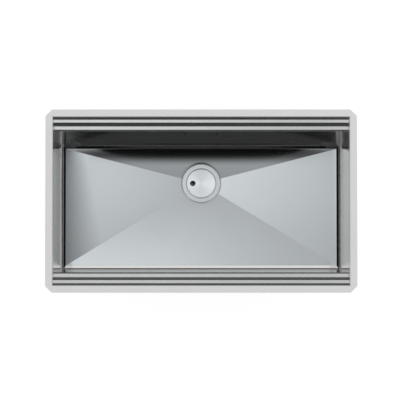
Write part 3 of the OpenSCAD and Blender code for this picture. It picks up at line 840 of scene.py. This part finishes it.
def make_bowl():
    bowl = floor_fall_shape().applied(bowl_sheet(), BOWL_STEEL)
    wall = bowl.modifiers.new("sheet", "SOLIDIFY")
    wall.thickness = SHEET
    wall.offset = -1
    wall.use_even_offset = True
    wall.use_quality_normals = True
    cutter = on_back_wall(round_bar("slot_cutter", SLOT_WIDTH, SLOT_HEIGHT, SLOT_CORNER, -0.01, 0.01))
    slot = bowl.modifiers.new("slot", "BOOLEAN")
    slot.operation = "DIFFERENCE"
    slot.solver = "EXACT"
    slot.object = cutter
    baked(bowl)
    bpy.data.objects.remove(cutter)
    return smoothed(bowl)


def make_plate():
    """The overflow's cover plate with its two screw bosses behind it."""
    plate = round_bar("overflow_plate_piece", SLOT_WIDTH - 2 * PLATE_END_GAP, SLOT_HEIGHT - 2 * PLATE_LONG_GAP,
                      SLOT_CORNER - PLATE_LONG_GAP, -SHEET, 0, edge=0.0002)
    shape = Shape("plate_bosses", {
        "Spacing": 0.052, "Boss Radius": 0.004, "Boss Length": 0.0245, "Hole Radius": 0.00215, "Hole Start": 0.004,
    })
    half = shape.maths("MULTIPLY", shape.size("Spacing"), -0.5)
    first = shape.add("ShaderNodeCombineXYZ", {0: half}).outputs[0]
    step = shape.add("ShaderNodeCombineXYZ", {0: shape.size("Spacing")}).outputs[0]
    line = shape.add("GeometryNodeMeshLine", {"Count": 2, "Start Location": first, "Offset": step}).outputs[0]

    def bars(radius, start, end):
        """A bar behind each screw, from start to end out of the wall."""
        length = shape.maths("SUBTRACT", end, start)
        middle = shape.maths("MULTIPLY", shape.maths("ADD", start, end), 0.5)
        bar = placed(shape, rod(shape, 32, radius, length), y=middle, turn=(math.pi / 2, 0.0, 0.0))
        return repeated(shape, line, (0.0, 0.0, 0.0), bar)

    bosses = bars(shape.size("Boss Radius"), -SHEET / 2, shape.size("Boss Length"))
    beyond = shape.maths("ADD", shape.size("Boss Length"), 0.01)
    holes = bars(shape.size("Hole Radius"), shape.size("Hole Start"), beyond)
    shape.end(cut(shape, joined(shape, [shape.start, bosses]), [holes]))
    return smoothed(on_back_wall(shape.applied(plate, BOWL_STEEL)))


keep(make_bowl(), BOWL_STEEL, "bowl_steel", "sink", "bowl")
keep(make_plate(), BOWL_STEEL, "bowl_steel", "sink", "overflow_plate")


# ------------------------------------------------------------------ waste

RIM_RADIUS = 0.0563
RIM_TOP = 0.0027
DISH_RADIUS = 0.0436
CUP_TOP_RADIUS = DISH_RADIUS - 0.0018
CUP_FOOT_RADIUS = DISH_RADIUS - 0.004
SHOULDER = -0.005
DISH_FLOOR = -0.040
PRESSED = 0.0012
COVER_RADIUS = 0.0417
FINGER_RADIUS = 0.0082
FINGER_X = -0.0247
BASKET_RIM = -0.00475
BASKET_FLOOR = -0.034
BASKET_SHEET = 0.0008
BASKET_RIM_RADIUS = DISH_RADIUS - 0.0005
BASKET_TOP_RADIUS = 0.0388
BASKET_FOOT_RADIUS = 0.0355
BASKET_CONE = 0.0045
SEAL_TOP = BASKET_FLOOR - BASKET_SHEET
SEAL_FOOT = SEAL_TOP - 0.0015
STEM_RADIUS = 0.003
STEM_HOLE_RADIUS = STEM_RADIUS + 0.00005
BASKET_SLOTS = 20


def make_rim():
    rim = turned("drain_rim_piece", [
        (RIM_RADIUS, 0.0001, 0), (RIM_RADIUS, RIM_TOP, 0.0014), (DISH_RADIUS, RIM_TOP, 0.0007),
        (DISH_RADIUS, SHOULDER, 0.0006), (CUP_TOP_RADIUS, SHOULDER, 0.0006),
        (CUP_FOOT_RADIUS, DISH_FLOOR, 0.003), (0, DISH_FLOOR, 0), (0, DISH_FLOOR - PRESSED, 0),
        (CUP_FOOT_RADIUS + PRESSED, DISH_FLOOR - PRESSED, 0.004),
        (CUP_TOP_RADIUS + PRESSED, SHOULDER - PRESSED, 0.0006),
        (DISH_RADIUS + PRESSED, SHOULDER - PRESSED, 0.0006), (DISH_RADIUS + PRESSED, 0.0015, 0.0012),
        (RIM_RADIUS - PRESSED, 0.0015, 0.0003), (RIM_RADIUS - PRESSED, 0.0001, 0),
    ], segments=144)
    shape = Shape("rim_holes", {
        "Holes": 6, "Ring Radius": 0.0175, "Hole Radius": 0.0052, "Hub Radius": 0.0033, "Depth": 0.01,
        "Middle Z": DISH_FLOOR - PRESSED / 2,
    })
    points, turns = ring_of(shape, shape.size("Holes"), shape.size("Ring Radius"), shape.size("Middle Z"), turn=0.0)
    hole = rod(shape, 32, shape.size("Hole Radius"), shape.size("Depth"))
    hub = placed(shape, rod(shape, 32, shape.size("Hub Radius"), shape.size("Depth")), z=shape.size("Middle Z"))
    shape.end(cut(shape, shape.start, [repeated(shape, points, turns, hole), hub]))
    return smoothed(at_drain(shape.applied(rim, DRAIN_STEEL)))


def make_basket():
    basket = turned("strainer_basket_piece", [
        (0, BASKET_FLOOR + BASKET_CONE, 0), (0.010, BASKET_FLOOR + BASKET_CONE, 0.002),
        (0.033, BASKET_FLOOR, 0.004), (BASKET_TOP_RADIUS, BASKET_RIM + 0.001, 0.0008),
        (BASKET_RIM_RADIUS, BASKET_RIM + 0.001, 0), (BASKET_RIM_RADIUS, BASKET_RIM, 0),
        (BASKET_TOP_RADIUS + BASKET_SHEET, BASKET_RIM, 0.0003),
        (BASKET_FOOT_RADIUS + BASKET_SHEET, SEAL_TOP, 0.0038), (0, SEAL_TOP, 0),
    ], segments=120)
    shape = Shape("basket_holes", {
        "Slots": BASKET_SLOTS, "Slot Ring": 0.037, "Slot Length": 0.014, "Slot Width": 0.003, "Slot Height": 0.016,
        "Slot Z": BASKET_FLOOR + 0.014, "Hole Ring": 0.030, "Hole Radius": 0.0018,
        "Stem Radius": STEM_HOLE_RADIUS, "Hole Z": SEAL_TOP + BASKET_SHEET / 2, "Hole Depth": 0.004,
    })
    slot_points, slot_turns = ring_of(shape, shape.size("Slots"), shape.size("Slot Ring"), shape.size("Slot Z"))
    slot = box_solid(shape, shape.size("Slot Length"), shape.size("Slot Width"), shape.size("Slot Height"))
    hole_points, hole_turns = ring_of(shape, shape.size("Slots"), shape.size("Hole Ring"), shape.size("Hole Z"))
    hole = rod(shape, 16, shape.size("Hole Radius"), shape.size("Hole Depth"))
    stem = rod(shape, 32, shape.size("Stem Radius"), shape.size("Hole Depth"))
    stem = placed(shape, stem, z=shape.size("Hole Z"))
    shape.end(cut(shape, shape.start, [
        repeated(shape, slot_points, slot_turns, slot), repeated(shape, hole_points, hole_turns, hole), stem,
    ]))
    return smoothed(at_drain(shape.applied(basket, DRAIN_STEEL)))


def make_seal():
    return smoothed(at_drain(turned("basket_seal_piece", [
        (STEM_HOLE_RADIUS, SEAL_TOP, 0), (STEM_HOLE_RADIUS, SEAL_FOOT, 0), (0.009, SEAL_FOOT, 0),
        (0.009, DISH_FLOOR + 0.0003, 0), (0.026, DISH_FLOOR + 0.0003, 0.0008),
        (0.028, DISH_FLOOR + 0.0016, 0.0008), (0.025, SEAL_TOP, 0.0005),
    ])))


def make_knob():
    top = BASKET_FLOOR + 0.022
    return smoothed(at_drain(turned("basket_knob_piece", [
        (0, SEAL_FOOT, 0), (STEM_RADIUS, SEAL_FOOT, 0), (STEM_RADIUS, BASKET_FLOOR, 0),
        (0.007, BASKET_FLOOR, 0.0006), (0.007, BASKET_FLOOR + 0.002, 0.0008), (0.004, BASKET_FLOOR + 0.005, 0.003),
        (0.004, top, 0.002), (0.011, top + 0.001, 0.001), (0.011, top + 0.004, 0.0014), (0, top + 0.005, 0),
    ], segments=64)))


def make_cover():
    foot = BASKET_RIM + 0.00125
    skirt = 0.0012
    skirt_end = -0.0025
    middle, edge = RIM_TOP - 0.0010, RIM_TOP + 0.0006
    through, beyond = 0.02, 0.002
    block_length, block_height = 0.012, 0.008
    cover = turned("drain_cover_piece", [
        (0, middle, 0), (0, middle - PRESSED, 0), (COVER_RADIUS - skirt, edge - PRESSED, 0.0006),
        (COVER_RADIUS - skirt, foot, 0), (COVER_RADIUS, foot, 0), (COVER_RADIUS, edge, 0.0006),
    ], segments=144)
    shape = Shape("cover_cuts", {
        "Feet": 3, "Skirt Radius": COVER_RADIUS, "Foot Width": 0.012, "Cut Height": skirt_end - foot,
        "Foot Z": foot, "Finger Radius": FINGER_RADIUS, "Finger X": FINGER_X,
    })
    finger = placed(shape, rod(shape, 64, shape.size("Finger Radius"), through), x=shape.size("Finger X"))
    # Between the feet the skirt is cut back by a disc, which is itself cut away at each foot
    disc = rod(shape, 96, shape.maths("ADD", shape.size("Skirt Radius"), beyond),
               shape.maths("MULTIPLY", shape.size("Cut Height"), 2.0))
    disc = placed(shape, disc, z=shape.size("Foot Z"))
    points, turns = ring_of(shape, shape.size("Feet"), shape.size("Skirt Radius"), shape.size("Foot Z"), turn=0.25)
    block = box_solid(shape, block_length, shape.size("Foot Width"), block_height)
    skirt_cut = cut(shape, disc, [repeated(shape, points, turns, block)])
    shape.end(cut(shape, shape.start, [finger, skirt_cut]))
    return smoothed(at_drain(shape.applied(cover, DRAIN_STEEL)))


keep(make_rim(), RIM_STEEL, "drain_steel", "sink", "drain_rim")
keep(make_basket(), DRAIN_STEEL, "drain_steel", "basket", "strainer_basket")
keep(make_seal(), RUBBER, "rubber", "basket", "basket_seal")
keep(make_knob(), DRAIN_STEEL, "drain_steel", "basket", "basket_knob")
keep(make_cover(), PAINTED_BRIGHT_COVER_STEEL, "drain_steel", "cover", "drain_cover")

for finish, slot, nodes in (
    (RUBBER, "rubber", ("rim_gasket", "body_gasket", "outlet_seal", "overflow_gasket", "pipe_seals")),
    (WHITE_PLASTIC, "white_plastic", ("waste_body", "outlet_nut", "outlet_pipe", "overflow_pipe", "overflow_elbow",
                                      "pipe_nuts")),
    (GREY_PLASTIC, "grey_plastic", ("overflow_housing",)),
    (DRAIN_STEEL, "drain_steel", ("clamp_screw",)),
    (BRASS, "brass", ("screw_insert",)),
    (DRAIN_STEEL, "drain_steel", ("housing_studs", "housing_nuts", "plate_screws")),
):
    for node in nodes:
        keep(dressed(node), finish, slot, "sink", node)


# ------------------------------------------------------------------ sound pads


PAD_CORNER = 0.010
PAD_EDGE = 0.0008
FLAT_ANGLE = math.radians(0.3)
STEEP_ANGLE = math.radians(60)
SHORT_EDGE = 0.005


def make_pad(node):
    """A die-cut rubber pad: the CAD node's slab with its corners rounded and its edges broken."""
    pad = dressed(node)
    bm = bmesh.new()
    bm.from_mesh(pad.data)
    bmesh.ops.dissolve_limit(bm, angle_limit=FLAT_ANGLE, verts=bm.verts, edges=bm.edges)
    short = [e for e in bm.edges if e.calc_length() < SHORT_EDGE and e.calc_face_angle(0) > STEEP_ANGLE]
    bmesh.ops.bevel(bm, geom=short, offset=PAD_CORNER, segments=6, profile=0.5, affect="EDGES")
    rim = [e for e in bm.edges if e.is_manifold and e.calc_face_angle() > STEEP_ANGLE]
    bmesh.ops.bevel(bm, geom=rim, offset=PAD_EDGE, segments=2, profile=0.5, affect="EDGES")
    bm.to_mesh(pad.data)
    bm.free()
    return smoothed(pad)


for node in ("pad_floor_left", "pad_floor_right", "pad_left", "pad_right", "pad_front", "pad_back_left",
             "pad_back_right"):
    keep(make_pad(node), PAD_RUBBER, "pad_rubber", "sink", node)


# ------------------------------------------------------------------ camera, light and floor

CAMERA_PLACE = (0.0, -0.240, 2.660)
CAMERA_TILT = math.radians(1.0)
CAMERA_SHIFT = (-0.003, 0.18)
LENS = 88.0
STAGE_SIZE = 14.0
FLOOR_PALE = (0.86, 0.86, 0.86, 1.0)
FLOOR_SEEN = (0.20, 0.20, 0.20, 1.0)
FLOOR_GLOW = 0.85

# The studio's edges, each from where it starts to fade to where it ends, as leans in degrees
BOX_SIDE = (22.0, 28.0)
BOX_FRONT = (-16.5, -7.5)
BOX_BACK = (29.5, 36.0)
MIDDLE_SIDE = (9.0, 13.0)
MIDDLE_FRONT = (-22.0, -12.0)
MIDDLE_BACK = (13.0, 19.0)
END_BLEND = (-12.0, 12.0)
FAR_BLEND = (19.0, 23.0)
GLOW_SIDE = (-4.5, 9.0)
GLOW_FRONT = (-0.4, 7.6)
GLOW_BACK = (7.6, 12.2)
DIM_START = (-34.0, -26.0)
DIM_END = (-62.0, -54.0)
PANEL_START = (40.0, 44.0)
PANEL_END = (54.0, 58.0)
PANEL_DEPTH = (22.0, 28.0)
AHEAD_START = (38.0, 42.0)
AHEAD_END = (54.0, 60.0)
BEHIND_START = (-68.0, -62.0)
BEHIND_END = (-84.0, -78.0)
# The corners start at these shares of the way to the horizon, along both X and Y
CORNER_START = (0.28, 0.38)
# How bright each part is, and the tint of the box
BOX_LEVEL = 0.56
GLOW_LEVEL = 0.62
BOX_END_LEVELS = (0.72, 1.10)
BOX_FAR_LEVELS = (0.35, 1.00)
PANEL_LEVEL = 0.60
ROOM_LEVEL = 0.60
DIM_LEVEL = 0.05
CEILING_LEVEL = 0.005
BOX_TINT = (0.97, 1.0, 1.02, 1.0)
WHITE = (1.0, 1.0, 1.0, 1.0)


def make_camera():
    data = bpy.data.cameras.new("camera")
    data.lens = LENS
    data.sensor_width = 36.0
    data.shift_x, data.shift_y = CAMERA_SHIFT
    data.clip_end = 100.0
    camera = object_of("camera", data)
    camera.location = CAMERA_PLACE
    camera.rotation_euler = (CAMERA_TILT, 0.0, 0.0)
    bpy.context.scene.camera = camera


def make_floor():
    """A pale floor, which glows a little to rays that are seen, so that it stays near white."""
    finish = Finish("studio_floor", FLOOR_PALE[:3], 0.9)
    finish.set("Specular IOR Level", 0.0)
    rays = finish.add("ShaderNodeLightPath")
    seen = finish.maths("MAXIMUM", rays.outputs["Is Camera Ray"], rays.outputs["Is Glossy Ray"])
    seen = finish.maths("MAXIMUM", seen, rays.outputs["Is Transmission Ray"])
    finish.set("Emission Color", (1.0, 1.0, 1.0, 1.0))
    finish.set("Emission Strength", finish.maths("MULTIPLY", seen, FLOOR_GLOW))
    finish.set("Base Color", finish.mix(seen, FLOOR_PALE, FLOOR_SEEN))
    bm = bmesh.new()
    half = STAGE_SIZE / 2
    corners = ((-half, -half), (half, -half), (half, half), (-half, half))
    bm.faces.new([bm.verts.new((x, y, FLOOR_LEVEL)) for x, y in corners])
    floor = object_from("studio_floor", bm)
    floor.data.materials.append(finish.material)


def make_light():
    """One soft box over the sink, brightest behind the camera, in a dark ceiling over a paler room.

    Leans are from straight up, in degrees, to the right (X) or to the back (Y). Diffuse light and the
    background are an even white. The box, the ceiling and the room are what the steel mirrors.
    """
    world = bpy.data.worlds.new("studio")
    bpy.context.scene.world = world
    world.use_nodes = True
    world.cycles.sampling_method = "NONE"
    world.node_tree.nodes.clear()
    sky = Tree(world.node_tree)
    x, y, z = sky.add("ShaderNodeSeparateXYZ", {0: sky.add("ShaderNodeTexCoord").outputs["Generated"]}).outputs
    m = sky.maths

    def times(first, *rest):
        return m("MULTIPLY", first, times(*rest)) if rest else first

    def rise(value, low, high):
        return sky.remap(value, low, high)

    def fall(value, low, high):
        return sky.remap(value, low, high, 1.0, 0.0)

    lean_x = m("DEGREES", m("ARCTAN2", x, z))
    lean_y = m("DEGREES", m("ARCTAN2", y, z))
    away_x = m("ABSOLUTE", lean_x)
    box = times(fall(away_x, *BOX_SIDE), rise(lean_y, *BOX_FRONT), fall(lean_y, *BOX_BACK))
    middle = times(fall(away_x, *MIDDLE_SIDE), rise(lean_y, *MIDDLE_FRONT), fall(lean_y, *MIDDLE_BACK))
    glow = times(fall(lean_x, *GLOW_SIDE), rise(lean_y, *GLOW_FRONT), fall(lean_y, *GLOW_BACK))
    inner = m("ADD", BOX_LEVEL, times(glow, GLOW_LEVEL))
    beyond = rise(lean_y, *MIDDLE_BACK)
    ends = sky.remap(lean_x, *END_BLEND, *BOX_END_LEVELS)
    far = sky.remap(lean_y, *FAR_BLEND, *BOX_FAR_LEVELS)
    outer = m("ADD", times(m("SUBTRACT", 1.0, beyond), ends), times(beyond, far))
    level = m("ADD", times(middle, inner), times(m("SUBTRACT", 1.0, middle), outer))
    corners = times(rise(m("ABSOLUTE", x), *CORNER_START), rise(m("ABSOLUTE", y), *CORNER_START))
    ahead = times(rise(lean_y, *AHEAD_START), fall(lean_y, *AHEAD_END))
    behind = times(fall(lean_y, *BEHIND_START), rise(lean_y, *BEHIND_END))
    room = times(m("SUBTRACT", 1.0, box), m("MAXIMUM", corners, m("MAXIMUM", ahead, behind)))
    dim = times(fall(lean_y, *DIM_START), rise(lean_y, *DIM_END), DIM_LEVEL)
    panels = times(rise(away_x, *PANEL_START), fall(away_x, *PANEL_END), fall(m("ABSOLUTE", lean_y), *PANEL_DEPTH))
    around = m("ADD", m("ADD", dim, times(panels, PANEL_LEVEL)), CEILING_LEVEL)
    shaped = m("ADD", m("ADD", times(box, level), times(room, ROOM_LEVEL)), around)
    rays = sky.add("ShaderNodeLightPath").outputs
    plain = m("MAXIMUM", rays["Is Diffuse Ray"], rays["Is Camera Ray"])
    mirrored = m("SUBTRACT", 1.0, plain)
    tint = sky.mix(times(middle, box, mirrored), WHITE, BOX_TINT)
    light = sky.add("ShaderNodeBackground", {"Color": tint, "Strength": m("ADD", times(shaped, mirrored), plain)})
    sky.add("ShaderNodeOutputWorld", {0: light.outputs[0]})


make_camera()
make_floor()
make_light()
bpy.context.scene.cycles.glossy_bounces = 8
bpy.context.scene.view_settings.view_transform = "Standard"

for piece, slot, body, nodes in PIECES:
    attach(piece, body)
    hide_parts(*nodes)
